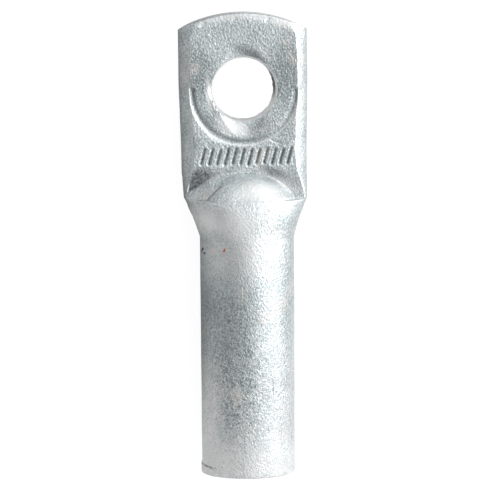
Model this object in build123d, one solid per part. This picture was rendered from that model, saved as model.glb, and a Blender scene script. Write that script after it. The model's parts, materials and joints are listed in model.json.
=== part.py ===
from build123d import *
from math import radians, sqrt, tan
import os

# A cable lug of forged aluminium bar: a round barrel, drilled for the cable, runs out over a
# domed shoulder into a flat palm with a stud hole. Lengths are in millimetres.
# The lug lies on its back. Y runs along it, towards the palm's tip, X goes across and Z is up.
# The origin is on the stud hole's axis, in the plane of the palm's back face.

# Barrel and its bore
BARREL_LENGTH = 46.6  # from the cable end to the shoulder line
BARREL_DIAMETER = 16.0  # where the flare starts
BARREL_MOUTH_DIAMETER = 15.65  # at the cable end, which is a little smaller
BARREL_EDGE_CHAMFER = 0.35  # outer edge at the cable end
BORE_DIAMETER = 9.0
BORE_DEPTH = 38.0  # full diameter, without the drill point
BORE_ENTRY_CHAMFER = 0.35
DRILL_POINT_ANGLE = 118.0

# Flare, where the bar spreads from the round barrel to the palm's width
FLARE_LENGTH = 6.4
FLARE_WIDTH = 20.8  # at the shoulder line
FLARE_START_SLOPE = 0.73  # share of the flare's mean slope that it starts with
FLARE_SECTIONS = 4

# Dome, the end of the barrel's crown that the round nose of the die left standing
DOME_RADIUS = 8.65  # in plan, at the height of the barrel's axis
DOME_SETBACK = 4.1  # its centre lies this far behind the shoulder line
SHOULDER_STEP = 0.15  # the flare ends this much above the dome

# Ramps beside the dome, where the palm's faces curve up to the shoulder line
RAMP_RISE = 1.3
HOLLOW_START = 5.2  # on the front the face first dips into a hollow, this far from the shoulder line
HOLLOW_BOTTOM = 2.3
HOLLOW_DEPTH = 0.3
RAMP_STEEPNESS = 1.5  # slope of the front ramp where it meets the shoulder line
BACK_RAMP_LENGTH = 4.8

# Palm
PALM_THICKNESS = 5.5
PALM_DROP = 0.9  # the palm's middle plane lies this far below the barrel's axis
SHOULDER_TO_HOLE = 18.4
HOLE_TO_TIP = 13.0
TIP_RADIUS = 22.0  # sheared round end, seen from above
# Along the palm from the shoulder line, as shares of its length: the width over the bulged
# sides, and the width of the flat faces between them
PALM_STATIONS = (
    (0.13, 20.95, 18.4),
    (0.26, 21.05, 17.4),
    (0.43, 21.25, 17.6),
    (0.60, 21.60, 18.2),
    (0.75, 21.65, 18.2),
    (0.86, 21.65, 17.5),
    (0.94, 21.65, 15.6),
    (1.02, 21.65, 12.2),
)

# Stud hole, its punched-in rim and the half ring pressed round it
STUD_HOLE_DIAMETER = 10.5
RIM_WIDTH = 11.9  # the rim is a lozenge with rounded corners, across the lug
RIM_LENGTH = 15.8  # and along it
RIM_SIDE_RADIUS = 2.1  # corners on either side of the hole
RIM_END_RADIUS = 3.0  # corners towards the barrel and the tip
RIM_DEPTH = 0.55
RING_RADIUS = 8.7  # middle of the groove
RING_WIDTH = 1.0
RING_DEPTH = 0.3

# How far a cutting shape stands past the metal that it cuts
CUT_MARGIN = 1.0

# Levels and stations that follow from the sizes above
AXIS_HEIGHT = PALM_THICKNESS / 2 + PALM_DROP
MIDDLE_HEIGHT = PALM_THICKNESS / 2
PALM_LENGTH = SHOULDER_TO_HOLE + HOLE_TO_TIP
SHOULDER_Y = -SHOULDER_TO_HOLE
TIP_Y = HOLE_TO_TIP
MOUTH_Y = SHOULDER_Y - BARREL_LENGTH
FLARE_Y = SHOULDER_Y - FLARE_LENGTH
DOME_Y = SHOULDER_Y - DOME_SETBACK
BARREL_RADIUS = BARREL_DIAMETER / 2
MOUTH_RADIUS = BARREL_MOUTH_DIAMETER / 2
BORE_RADIUS = BORE_DIAMETER / 2
STUD_HOLE_RADIUS = STUD_HOLE_DIAMETER / 2


def cross_section(y, z, half_width, half_height):
    """Upright ellipse across the lug, the bar's own section at one station."""
    place = Plane(origin=(0, y, z), x_dir=(1, 0, 0), z_dir=(0, -1, 0))
    return place * Ellipse(half_width, half_height)


def turned(outline):
    """Solid turned about the barrel's axis from points (radius, y)."""
    profile = make_face(Polyline(*outline, close=True))
    axis = Axis((0, 0, AXIS_HEIGHT), (0, 1, 0))
    return revolve(Pos(0, 0, AXIS_HEIGHT) * profile, axis)


def crown_height(y):
    """Height of the barrel's crown above its axis: level, then falling away over the dome."""
    run = max(y - DOME_Y, 0.0)
    return BARREL_RADIUS * sqrt(1 - (run / DOME_RADIUS) ** 2)


def make_barrel():
    """Slightly tapered round bar with a broken edge at the cable end."""
    bar = turned(
        [
            (0, MOUTH_Y),
            (MOUTH_RADIUS, MOUTH_Y),
            (BARREL_RADIUS, FLARE_Y),
            (0, FLARE_Y),
        ]
    )
    mouth_edge = bar.edges().sort_by(Axis.Y)[0]
    return chamfer(mouth_edge, BARREL_EDGE_CHAMFER)


def flare_end_height():
    """Half height of the flare's last section."""
    return crown_height(SHOULDER_Y) + SHOULDER_STEP


def make_flare():
    """The bar spreading sideways while its crown begins to fall."""
    sections = []
    for i in range(FLARE_SECTIONS):
        run = i / (FLARE_SECTIONS - 1)
        y = FLARE_Y + run * FLARE_LENGTH
        spread = FLARE_START_SLOPE * run + (1 - FLARE_START_SLOPE) * run**2
        half_width = BARREL_RADIUS + spread * (FLARE_WIDTH / 2 - BARREL_RADIUS)
        half_height = crown_height(y) + SHOULDER_STEP * run**2
        sections.append(cross_section(y, AXIS_HEIGHT, half_width, half_height))
    return loft(sections)


def make_bulged_bar():
    """The bar along the palm: flat faces cut out of it leave sides that bulge as pressed metal does."""
    sections = [cross_section(SHOULDER_Y, AXIS_HEIGHT, FLARE_WIDTH / 2, flare_end_height())]
    for share, width, face_width in PALM_STATIONS:
        half_height = PALM_THICKNESS / 2 / sqrt(1 - (face_width / width) ** 2)
        y = SHOULDER_Y + share * PALM_LENGTH
        sections.append(cross_section(y, MIDDLE_HEIGHT, width / 2, half_height))
    return loft(sections)


def make_side_profile():
    """Palm seen from the side: flat faces, with a ramp up to the shoulder line on each."""
    end_y = TIP_Y + CUT_MARGIN
    front = Spline(
        (SHOULDER_Y, PALM_THICKNESS + RAMP_RISE),
        (SHOULDER_Y + HOLLOW_BOTTOM, PALM_THICKNESS - HOLLOW_DEPTH),
        (SHOULDER_Y + HOLLOW_START, PALM_THICKNESS),
        tangents=[(1, -RAMP_STEEPNESS), (1, 0)],
    )
    back = TangentArc(
        (SHOULDER_Y + BACK_RAMP_LENGTH, 0),
        (SHOULDER_Y, -RAMP_RISE),
        tangent=(-1, 0),
    )
    palm = Polyline(front @ 1, (end_y, PALM_THICKNESS), (end_y, 0), back @ 0)
    shoulder = Line(back @ 1, front @ 0)
    profile = make_face([*front.edges(), *palm.edges(), *back.edges(), *shoulder.edges()])
    return extrude(Plane.YZ * profile, BARREL_DIAMETER, both=True)


def make_plan():
    """Palm seen from above, ended by the sheared arc."""
    arc_y = TIP_Y - TIP_RADIUS
    length = max(arc_y - SHOULDER_Y, CUT_MARGIN)
    outline = Pos(0, arc_y) * Circle(TIP_RADIUS)
    outline += Pos(0, SHOULDER_Y + length / 2) * Rectangle(2 * TIP_RADIUS, length)
    return extrude(outline, 2 * BARREL_DIAMETER, both=True)


def make_dome():
    """Round end of the crown on both faces: half of a slightly flattened ball."""
    crown = Pos(0, AXIS_HEIGHT) * Ellipse(DOME_RADIUS, BARREL_RADIUS)
    right_half = Pos(DOME_RADIUS / 2, AXIS_HEIGHT) * Rectangle(DOME_RADIUS, BARREL_DIAMETER)
    ball = revolve(Plane.XZ * (crown & right_half), Axis.Z)
    ahead = Pos(0, DOME_SETBACK + BARREL_DIAMETER, 0) * Box(*(2 * BARREL_DIAMETER,) * 3)
    return Pos(0, DOME_Y, 0) * (ball & ahead)


def make_bore():
    """Blind hole for the cable, as a twist drill leaves it, with a broken entry edge."""
    bottom_y = MOUTH_Y + BORE_DEPTH
    point_length = BORE_RADIUS / tan(radians(DRILL_POINT_ANGLE / 2))
    entry_radius = BORE_RADIUS + BORE_ENTRY_CHAMFER
    return turned(
        [
            (0, MOUTH_Y - CUT_MARGIN),
            (entry_radius, MOUTH_Y - CUT_MARGIN),
            (entry_radius, MOUTH_Y),
            (BORE_RADIUS, MOUTH_Y + BORE_ENTRY_CHAMFER),
            (BORE_RADIUS, bottom_y),
            (0, bottom_y + point_length),
        ]
    )


def rim_outline(share):
    """Lozenge with rounded corners, the drawn-in rim's edge at this share of its full size."""
    side_x = share * (RIM_WIDTH / 2 - RIM_SIDE_RADIUS)
    end_y = share * (RIM_LENGTH / 2 - RIM_END_RADIUS)
    corners = []
    for side in (-1, 1):
        corners += (Pos(side * side_x, 0) * Circle(share * RIM_SIDE_RADIUS)).edges()
        corners += (Pos(0, side * end_y) * Circle(share * RIM_END_RADIUS)).edges()
    return make_hull(corners)


def make_stud_hole():
    """Punched hole with the long drawn-in rim, which slopes down to the hole from its own edge."""
    hole = Pos(0, 0, MIDDLE_HEIGHT) * Cylinder(STUD_HOLE_RADIUS, PALM_THICKNESS + 2 * CUT_MARGIN)
    floor_share = 2 * STUD_HOLE_RADIUS / RIM_LENGTH
    mouth_share = 1 + (1 - floor_share) * CUT_MARGIN / RIM_DEPTH
    floor = Pos(0, 0, PALM_THICKNESS - RIM_DEPTH) * rim_outline(floor_share)
    mouth = Pos(0, 0, PALM_THICKNESS + CUT_MARGIN) * rim_outline(mouth_share)
    rim = loft([floor, mouth], ruled=True)
    return hole + rim


def ring_groove_tools():
    """Half ring on the barrel's side of the hole, pressed in with a round-ended bead."""
    bead_radius = (RING_WIDTH**2 / 4 + RING_DEPTH**2) / (2 * RING_DEPTH)
    height = PALM_THICKNESS + bead_radius - RING_DEPTH
    bead = Plane.XZ * Pos(RING_RADIUS, height) * Circle(bead_radius)
    tools = [revolve(bead, Axis.Z, revolution_arc=-180)]
    for side in (-1, 1):
        tools.append(Pos(side * RING_RADIUS, 0, height) * Sphere(bead_radius))
    return tools


def make_lug():
    """Forged body first, then the holes and the groove, as the real piece is made."""
    palm = make_bulged_bar() & make_side_profile() & make_plan()
    lug = make_barrel() + (make_flare() + palm + make_dome())
    lug -= make_bore()
    lug -= make_stud_hole()
    for tool in ring_groove_tools():
        lug -= tool
    return lug


os.makedirs("parts", exist_ok=True)
export_step(make_lug(), "parts/cable_lug.step")
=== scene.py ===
import json
import math

import bmesh
import bpy
import numpy as np
from mathutils import Matrix, Vector, kdtree, noise
from mathutils.geometry import delaunay_2d_cdt


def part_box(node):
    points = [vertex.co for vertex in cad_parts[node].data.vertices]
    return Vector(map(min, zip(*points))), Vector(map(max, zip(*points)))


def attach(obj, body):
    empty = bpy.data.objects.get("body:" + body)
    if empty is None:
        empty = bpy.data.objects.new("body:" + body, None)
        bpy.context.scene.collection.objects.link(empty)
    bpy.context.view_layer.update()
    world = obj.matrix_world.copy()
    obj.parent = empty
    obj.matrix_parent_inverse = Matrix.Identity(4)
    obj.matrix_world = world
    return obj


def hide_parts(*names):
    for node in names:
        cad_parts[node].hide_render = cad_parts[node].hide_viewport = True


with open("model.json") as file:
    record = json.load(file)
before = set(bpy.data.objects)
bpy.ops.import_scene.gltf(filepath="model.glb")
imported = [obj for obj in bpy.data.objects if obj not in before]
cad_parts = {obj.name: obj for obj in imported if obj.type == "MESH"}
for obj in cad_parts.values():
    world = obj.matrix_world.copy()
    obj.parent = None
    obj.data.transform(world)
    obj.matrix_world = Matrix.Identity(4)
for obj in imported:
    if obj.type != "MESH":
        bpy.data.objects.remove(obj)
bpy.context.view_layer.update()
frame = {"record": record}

# Barrel: round aluminium bar, a touch smaller at the cable end, where the cut has pushed up a
# small lip on one side. It keeps the bar's full thickness and takes the stranded cable.
MM = 0.001  # lengths are in millimetres from here on, and the mesh gets them in metres
lug_low, lug_high = (np.array(corner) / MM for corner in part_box("cable_lug"))
mounts = {mount["name"]: mount for mount in frame["record"]["mounts"]}
AXIS_Z = mounts["cable_bore"]["pos_m"][2] / MM
MOUTH_Y = lug_low[1]
SHOULDER_Y = -18.4
FLARE_LENGTH = 6.4
FLARE_Y = SHOULDER_Y - FLARE_LENGTH
BARREL_RADIUS = 7.94
MOUTH_RADIUS = 7.825
MOUTH_ROUNDING = 0.27


def eased(t):
    """Smooth step from 0 to 1."""
    t = np.clip(t, 0, 1)
    return t * t * (3 - 2 * t)


def through(y, points):
    """Smooth curve through (y, value) points."""
    at, value = np.array(points).T
    slope = np.gradient(value, at)
    i = np.clip(np.searchsorted(at, y) - 1, 0, len(at) - 2)
    step = at[i + 1] - at[i]
    t = np.clip((y - at[i]) / step, 0, 1)
    rise = (value[i + 1] - value[i]) * t * t * (3 - 2 * t)
    bend = step * (slope[i] * t * (1 - t) ** 2 - slope[i + 1] * t * t * (1 - t))
    return value[i] + rise + bend


def barrel_radius(y):
    share = np.clip((y - MOUTH_Y) / (FLARE_Y - MOUTH_Y), 0, 1)
    radius = MOUTH_RADIUS + share * (BARREL_RADIUS - MOUTH_RADIUS)
    inset = np.clip(1 - (y - MOUTH_Y) / MOUTH_ROUNDING, 0, 1)
    return radius - MOUTH_ROUNDING * (1 - np.sqrt(1 - inset**2))


# Shoulder: the bar spreads sideways to the palm's width while its crown begins to fall, and ends
# in a crease where the flattening die stopped. The die's round nose left a dome standing.
FLARE_HALF_WIDTH = 10.36
FLARE_START_SLOPE = 0.73
FLARE_SQUARENESS = 2.2
CROWN_FALL_Y = (-34.0, -24.5, -21.0)  # the crown begins to dip, dips fastest, and ends its dip
CROWN_FALL = (0.5, 0.17)  # by this much in each stretch
DOME_HALF_WIDTH = 9.45
DOME_LENGTH = 8.8
DOME_POWER = 2.4
DOME_SETBACK = 4.1
DOME_Y = SHOULDER_Y - DOME_SETBACK
RUN_ON_LENGTH = 1.6  # the flare's middle runs on into the dome over this length
RUN_ON_HALF_WIDTH = 7.0
RUN_ON_FADE = 3.0
EDGE_ROUNDING = 0.3  # of the step that the flare ends in on each side of the dome
EDGE_STARTS = (7.6, 5.6)  # this far from the middle, on the left and on the right
EDGE_FADE = 1.4
CREASE_SKEW = 0.018  # the crease runs a little aslant
CREASE_FACE_HALF = 10.0


def flare_run(y):
    return np.clip((y - FLARE_Y) / FLARE_LENGTH, 0, 1)


def half_width(y):
    run = flare_run(y)
    spread = FLARE_START_SLOPE * run + (1 - FLARE_START_SLOPE) * run**2
    return barrel_radius(y) + spread * (FLARE_HALF_WIDTH - BARREL_RADIUS)


def crown_dip(y):
    """How far the crown has sunk, where the bar was drawn out before the flare."""
    start, middle, end = CROWN_FALL_Y
    first = np.clip((y - start) / (middle - start), 0, 1) ** 2
    last = 1 - (1 - np.clip((y - middle) / (end - middle), 0, 1)) ** 2
    return CROWN_FALL[0] * first + CROWN_FALL[1] * last


def half_height(y):
    ahead = np.clip(y - DOME_Y, 0, None)
    fall = np.sqrt(1 - (ahead / DOME_LENGTH) ** 2)
    return (barrel_radius(y) - crown_dip(y)) * fall


def squareness(y):
    return 2 + (FLARE_SQUARENESS - 2) * eased(flare_run(y))


def section_height(x, y):
    """Height of the bar's skin above its axis, before the palm."""
    n = squareness(y)
    return half_height(y) * (1 - np.clip(np.abs(x) / half_width(y), 0, 1) ** n) ** (1 / n)


def dome_height(x, y):
    fall = np.sqrt(np.clip(1 - ((y - DOME_Y) / DOME_LENGTH) ** 2, 0, None))
    inside = fall**DOME_POWER - np.abs(x / DOME_HALF_WIDTH) ** DOME_POWER
    dome = (BARREL_RADIUS - sum(CROWN_FALL)) * np.clip(inside, 0, None) ** (1 / DOME_POWER)
    runs_on = eased((SHOULDER_Y - y) / RUN_ON_LENGTH + 1)
    runs_on = runs_on * eased((RUN_ON_HALF_WIDTH - np.abs(x)) / RUN_ON_FADE)
    return dome + runs_on * (section_height(x, np.minimum(y, SHOULDER_Y + RUN_ON_LENGTH)) - dome)


def edge_drop(x, y):
    """How far the flare's last edge is rounded down, beside the dome."""
    inset = np.clip(1 - (SHOULDER_Y - y) / EDGE_ROUNDING, 0, 1)
    beside = eased((np.abs(x) - np.where(x < 0, *EDGE_STARTS)) / EDGE_FADE)
    beside = beside * eased(CREASE_FACE_HALF - np.abs(x))
    return EDGE_ROUNDING * (1 - np.sqrt(1 - inset**2)) * beside


def crease_y(x):
    return SHOULDER_Y + CREASE_SKEW * (CREASE_FACE_HALF - x)


# Palm: the same bar pressed flat between two dies. Its sides bulge out freely, its faces are
# flat up to a soft edge, and its end is sheared round, which drags the face down a little.
PALM_TOP = mounts["washer_face"]["pos_m"][2] / MM
PALM_BACK = mounts["contact_face"]["pos_m"][2] / MM
PALM_MIDDLE = (PALM_TOP + PALM_BACK) / 2
TIP_Y = lug_high[1]
TIP_RADIUS = 22.0
TIP_SIDESTEP = -0.12  # the shear stood a little to the left
FACE_HALF = (
    (-18.4, 10.0),
    (-17.3, 9.87),
    (-16.3, 9.62),
    (-15.2, 9.3),
    (-14.0, 9.0),
    (-11.7, 8.72),
    (-8.0, 8.72),
    (-4.8, 8.86),
    (-1.5, 9.05),
    (1.0, 9.16),
    (3.5, 9.18),
    (7.5, 9.04),
    (9.2, 8.78),
    (10.1, 8.5),
    (11.0, 7.95),
    (12.3, 6.6),
)
SIDE_HALF = (
    (-18.4, 10.36),
    (-14.3, 10.5),
    (-10.2, 10.56),
    (-4.9, 10.68),
    (0.4, 10.8),
    (5.2, 10.82),
    (12.3, 10.82),
)
BARREL_FACE_SHARE = 0.8  # on the barrel, the face's half width as a share of the radius
FACE_SPREAD_Y = -27.5  # from here the face widens to its width at the crease
CREASE_BACK_HALF = 9.3
MIDDLE_RUN = 4.0  # the widest line comes down from the barrel's axis over this length
HOLLOW_DEPTH = 0.3
HOLLOW_LEFT = (1.7, 4.5)  # bottom and start of the hollow before the crease, from the crease
HOLLOW_RIGHT = (2.7, 5.5)
HOLLOW_POWER = 2.0
HOLLOW_BLEND = 8.0  # the hollow changes from left to right over this width
RAMP_RISE = (0.22, 0.1)  # on the left and on the right
RAMP_INNER_HALF = 5.5  # nearer the middle the rise is as it is here
DROOP_LENGTH = 1.7
DROOP_DEPTH = 0.2
TIP_ROUNDING = 0.25
TIP_LEAN = 0.3  # the shear leaves the lower edge this far back


def tip_y(x):
    return TIP_Y - TIP_RADIUS + np.sqrt(TIP_RADIUS**2 - (x - TIP_SIDESTEP) ** 2)


def shear_lean(level):
    """How far the sheared end stands back, from 1 at the front face to 0 at the back."""
    return TIP_LEAN * np.clip(1 - level, 0, 1) ** 1.5


def face_half(y):
    spread = eased((y - FACE_SPREAD_Y) / (SHOULDER_Y - FACE_SPREAD_Y))
    before = barrel_radius(y) * BARREL_FACE_SHARE * (1 - spread) + CREASE_FACE_HALF * spread
    return np.where(y < SHOULDER_Y, before, through(y, FACE_HALF))


def back_half(y):
    lag = (CREASE_FACE_HALF - CREASE_BACK_HALF) * eased((y - FACE_SPREAD_Y) / (SHOULDER_Y - FACE_SPREAD_Y))
    return face_half(y) - lag * eased((SHOULDER_Y + MIDDLE_RUN - y) / MIDDLE_RUN)


def side_half(y):
    return np.where(y < SHOULDER_Y, half_width(y), through(y, SIDE_HALF))


def side_middle(y):
    return AXIS_Z + (PALM_MIDDLE - AXIS_Z) * eased((y - SHOULDER_Y) / MIDDLE_RUN)


def side_squareness(y):
    on_palm = 2 + (FLARE_SQUARENESS - 2) * eased(1 - (y - SHOULDER_Y) / MIDDLE_RUN)
    return np.where(y < SHOULDER_Y, squareness(y), on_palm)


def softened(a, b, reach):
    """The higher of two heights, with a small hollow where they meet."""
    gap = np.clip(1 - np.abs(a - b) / reach, 0, 1)
    return np.maximum(a, b) + reach * gap**2 / 4


def drag(x, y):
    """How far the shear has pulled the face down near the tip."""
    inside = tip_y(x) - y
    pulled = DROOP_DEPTH * np.clip(1 - inside / DROOP_LENGTH, 0, 1) ** 2
    return pulled + TIP_ROUNDING * (1 - np.sqrt(1 - np.clip(1 - inside / TIP_ROUNDING, 0, 1) ** 2))


def ramp(x, y):
    """Hollow in the front face before the crease, then the rise to it."""
    side = eased(x / HOLLOW_BLEND + 0.5)
    bottom = HOLLOW_LEFT[0] + side * (HOLLOW_RIGHT[0] - HOLLOW_LEFT[0])
    start = HOLLOW_LEFT[1] + side * (HOLLOW_RIGHT[1] - HOLLOW_LEFT[1])
    ahead = y - crease_y(x)
    beside = np.clip(np.abs(x), RAMP_INNER_HALF, CREASE_FACE_HALF)
    full = section_height(beside, SHOULDER_Y) + AXIS_Z - PALM_TOP
    rise = np.minimum(RAMP_RISE[0] + side * (RAMP_RISE[1] - RAMP_RISE[0]), full)
    up = (rise + HOLLOW_DEPTH) * np.clip(1 - ahead / bottom, 0, 1) ** HOLLOW_POWER
    out = HOLLOW_DEPTH * eased((ahead - bottom) / (start - bottom))
    return up + out - HOLLOW_DEPTH


# Stud hole: punched from the front. The punch drew the face in round the hole, most along the
# lug, and broke through at the back with a ragged lip on one side of the wall.
HOLE_RADIUS = mounts["stud_hole"]["dims"]["r_mm"]
RIM_LOBES = ((-3.85, 0, 2.1), (3.85, 0, 2.1), (0, -4.9, 3.0), (0, 4.95, 2.95))  # middle, radius
RIM_DEPTH = 0.5
RIM_POWER = 1.25
TORN_ANGLE = 12.0  # the wall tore on this side, in degrees from +X
BRIM_ROLL = 0.22  # the punch rolled the brim over
BRIM_AT_TIP = 1.6  # more than that towards the tip, less towards the barrel
BRIM_AT_BARREL = 0.5
BRIM_TORN_SPREAD = 38.0


def brim_roll(angle):
    """How far the brim is rolled over, most of all towards the tip and where the wall tore."""
    towards_tip = BRIM_AT_TIP * np.clip(np.sin(angle), 0, 1) ** 2
    towards_barrel = BRIM_AT_BARREL * np.clip(np.sin(angle), -1, 0)
    torn_side = np.exp(-(((np.degrees(angle) - TORN_ANGLE) / BRIM_TORN_SPREAD) ** 2))
    return BRIM_ROLL * (1 + towards_tip + towards_barrel + torn_side)


def rim_outline(angle):
    """Distance from the hole's centre to the edge of the drawn-in rim."""
    facing = np.radians(np.arange(0, 360, 2.0))
    reach = np.max([x * np.cos(facing) + y * np.sin(facing) + r for x, y, r in RIM_LOBES], axis=0)
    table = np.radians(np.arange(-180, 181, 2.0))
    cosine = np.cos(table[:, None] - facing[None, :])
    limit = np.where(cosine > 0.1, reach / np.maximum(cosine, 0.1), 99.0).min(axis=1)
    return np.interp(angle, table, limit)


def rim_drop(x, y):
    out = np.hypot(x, y)
    edge = rim_outline(np.arctan2(y, x))
    share = np.clip((out - HOLE_RADIUS) / (edge - HOLE_RADIUS), 0, 1)
    return RIM_DEPTH * (1 - share) ** RIM_POWER


# Half ring: a bead pressed into the front face on the barrel's side of the hole. It is faint at
# the lower right, where the die was worn, and its outer wall is wide at the lower left.
RING_RADIUS = 8.67
RING_HALF = 0.56
RING_DEPTH = 0.34
RING_END_Y = (0.35, -0.1)  # where its left and right ends lie along the lug
RING_WORN = (-52.0, 20.0, 0.55)  # angle, spread, share of the depth that is lost
RING_WIDE = (-122.0, 17.0, 1.1)  # angle, spread, share by which the outer wall is wider


def ring_drop(x, y):
    angle = np.degrees(np.arctan2(y, x))
    worn = 1 - RING_WORN[2] * np.exp(-(((angle - RING_WORN[0]) / RING_WORN[1]) ** 2))
    wide = 1 + RING_WIDE[2] * np.exp(-(((angle - RING_WIDE[0]) / RING_WIDE[1]) ** 2))
    end_y = np.where(x < 0, RING_END_Y[0], RING_END_Y[1])
    past = np.clip(y - end_y, 0, None)
    off = np.hypot(x, np.minimum(y, end_y)) - RING_RADIUS
    off = np.where(off > 0, off / wide, off)
    return RING_DEPTH * worn * np.cos(np.clip(np.hypot(off, past) / RING_HALF, 0, 1) * math.pi / 2) ** 1.4


# Stamped strokes: a plain row of slanting strokes without meaning, struck cold into the front
# face. No two are quite alike, and the struck metal stands up a little round each.
STROKE_COUNT = 12
STROKE_Y = -11.15
STROKE_SPAN = (-7.0, 7.5)
STROKE_HALF_LENGTH = 1.25
STROKE_SLANT = 0.28
STROKE_HALF_WIDTH = 0.3
STROKE_DEPTH = 0.26
STROKE_BURR = 0.05
BURR_SPREAD = 0.16
STROKE_UNEVEN = 0.06  # how much the strokes differ in length, as a share
STROKE_LIFT = 0.1  # and how far they stand off the line


def near_line(x, y, start, end):
    """Distance from points to a straight line between two points."""
    along = np.array(end) - np.array(start)
    share = ((x - start[0]) * along[0] + (y - start[1]) * along[1]) / (along @ along)
    share = np.clip(share, 0, 1)
    return np.hypot(x - start[0] - share * along[0], y - start[1] - share * along[1])


def stroke_lines():
    lines = []
    for i, middle in enumerate(np.linspace(*STROKE_SPAN, STROKE_COUNT)):
        reach = STROKE_HALF_LENGTH * (1 + STROKE_UNEVEN * math.sin(2.4 * i))
        shift = STROKE_SLANT * reach
        lift = STROKE_LIFT * math.sin(1.7 * i + 1)
        foot = (middle - shift, STROKE_Y + lift - reach)
        head = (middle + shift, STROKE_Y + lift + reach)
        lines.append((foot, head))
    return lines


def stroke_drop(x, y):
    near = np.min([near_line(x, y, *line) for line in stroke_lines()], axis=0)
    pressed = STROKE_DEPTH * np.clip(1 - near / STROKE_HALF_WIDTH, 0, 1) ** 0.8
    burr = STROKE_BURR * np.exp(-(((near - 1.5 * STROKE_HALF_WIDTH) / BURR_SPREAD) ** 2))
    return pressed - burr


# Fold and wedge: metal that the die squeezed out on the dome's left. It stands as a low wedge
# that falls off to the palm, with a fine groove where it was folded against the dome.
LAP_LINE = (
    (-7.1, -18.4),
    (-6.6, -17.9),
    (-5.48, -16.86),
    (-4.28, -15.82),
    (-3.8, -15.3),
    (-2.6, -14.4),
    (-1.2, -13.8),
)
LAP_DEPTH = 0.13
LAP_HALF_WIDTH = 0.13
LAP_SLANT = 0.72  # turns a distance across the lug into one across the fold
LAP_FADES = (-16.3, -15.3)  # the fold is sharp up to here and runs out softly from there
WEDGE_FOOT = ((-10.0, -17.0), (-6.4, -14.8), (-3.8, -14.1), (-1.5, -13.95), (2.5, -16.2))
WEDGE_REACH = 9.0
WEDGE_SLOPE = 1.1
WEDGE_CORNER = (7.6, 1.2, 0.35)  # its outer corner: start, length and depth
DOME_SOFTNESS = 0.3


def lap_side(x, y):
    """Distance from the fold on the dome's left, positive on the dome."""
    line_x, line_y = np.array(LAP_LINE).T
    return (x - np.interp(y, line_y, line_x)) * LAP_SLANT


def lap_drop(x, y):
    """Groove where the metal on the dome's left was folded against it."""
    fades = eased((LAP_FADES[1] - y) / (LAP_FADES[1] - LAP_FADES[0]))
    return LAP_DEPTH * fades * np.exp(-((lap_side(x, y) / LAP_HALF_WIDTH) ** 2))


def wedge_height(x, y):
    """Height over the palm of the metal that was squeezed out on the dome's left."""
    room = WEDGE_REACH
    for start, end in zip(WEDGE_FOOT, WEDGE_FOOT[1:]):
        along_x, along_y = np.subtract(end, start) / math.dist(start, end)
        room = np.minimum(room, (x - start[0]) * along_y - (y - start[1]) * along_x)
    corner_starts, corner_length, corner_depth = WEDGE_CORNER
    corner = corner_depth * eased((-corner_starts - x) / corner_length)
    skin = section_height(x, SHOULDER_Y) + AXIS_Z - PALM_TOP - corner
    return np.minimum(WEDGE_SLOPE * room, skin)


def dome_level(x, y):
    """Level of the dome and of the wedge beside it."""
    return softened(AXIS_Z + dome_height(x, y), PALM_TOP + wedge_height(x, y), DOME_SOFTNESS)


# Front of the palm: the die's flat face with the ramp, the rim, the ring and the strokes in it,
# and a few knocks from the tumbling drum and from other lugs in the same bin.
KNOCKS = (  # start, end, depth, half width
    ((4.4, -8.4), (6.0, -7.75), 0.05, 0.16),
    ((4.4, -8.4), (6.0, -9.05), 0.07, 0.17),
    ((-6.9, 11.0), (-6.4, 11.3), 0.14, 0.3),
    ((-1.6, 11.7), (-1.2, 12.1), 0.1, 0.25),
    ((4.0, 11.6), (4.3, 12.0), 0.1, 0.25),
)
FOOT_SOFTNESS = (0.2, 0.3)  # of the dome's foot, and what its left side adds


def front_height(x, y):
    """The palm's front face, with all that is pressed into it."""
    face = PALM_TOP + ramp(x, y)
    soft = FOOT_SOFTNESS[0] + FOOT_SOFTNESS[1] * eased((-x - 2.0) / 3.0)
    level = softened(face, dome_level(x, y) - lap_drop(x, y), soft)
    level = level - drag(x, y) - rim_drop(x, y) - ring_drop(x, y) - stroke_drop(x, y)
    for start, end, depth, width in KNOCKS:
        level = level - depth * np.exp(-((near_line(x, y, start, end) / width) ** 2))
    return level


# Back of the palm: a plain flat face that seats on the terminal. It has only the same dome and a
# short rise to the crease, as the lower die leaves them.
BACK_RAMP = 3.2


def back_height(x, y):
    rise = PALM_BACK - (AXIS_Z - section_height(CREASE_BACK_HALF, SHOULDER_Y))
    level = PALM_BACK - rise * np.clip(1 - (y - crease_y(x)) / BACK_RAMP, 0, 1) ** 2
    dome = AXIS_Z - dome_height(x, y)
    return -softened(-level, -dome, DOME_SOFTNESS)


# Lug: one forged piece. Its skin runs in closed rows from the cable end to the crease, then goes on
# as two faces, two bulged sides and the sheared end. The bore and the stud hole are part of it.
TOP_COLUMNS = 97
SIDE_COLUMNS = 22
BARREL_ROW = 0.42
FLARE_ROW = 0.2
LIP_ROW = 0.055
LIP_LENGTH = 1.75
LIP_HEIGHT = 0.14
LIP_STEP = 0.12
LIP_FROM = (-25.0, 20.0)  # degrees upwards from the left, and over how many it rises
LIP_TO = (46.0, 9.0)
LIP_SLANT = 0.006  # how much nearer the mouth it ends with each degree upwards
SKIN, DRILLED, SHEARED = range(3)
lug_points = []
lug_faces = []
lug_finish = []


def add_points(x, y, z):
    """Adds points to the lug and gives back their numbers, arranged as the points are."""
    x, y, z = np.broadcast_arrays(x, y, z)
    first = sum(len(block) for block in lug_points)
    lug_points.append(np.stack([x.ravel(), y.ravel(), z.ravel()], axis=1))
    return first + np.arange(x.size).reshape(x.shape)


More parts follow.
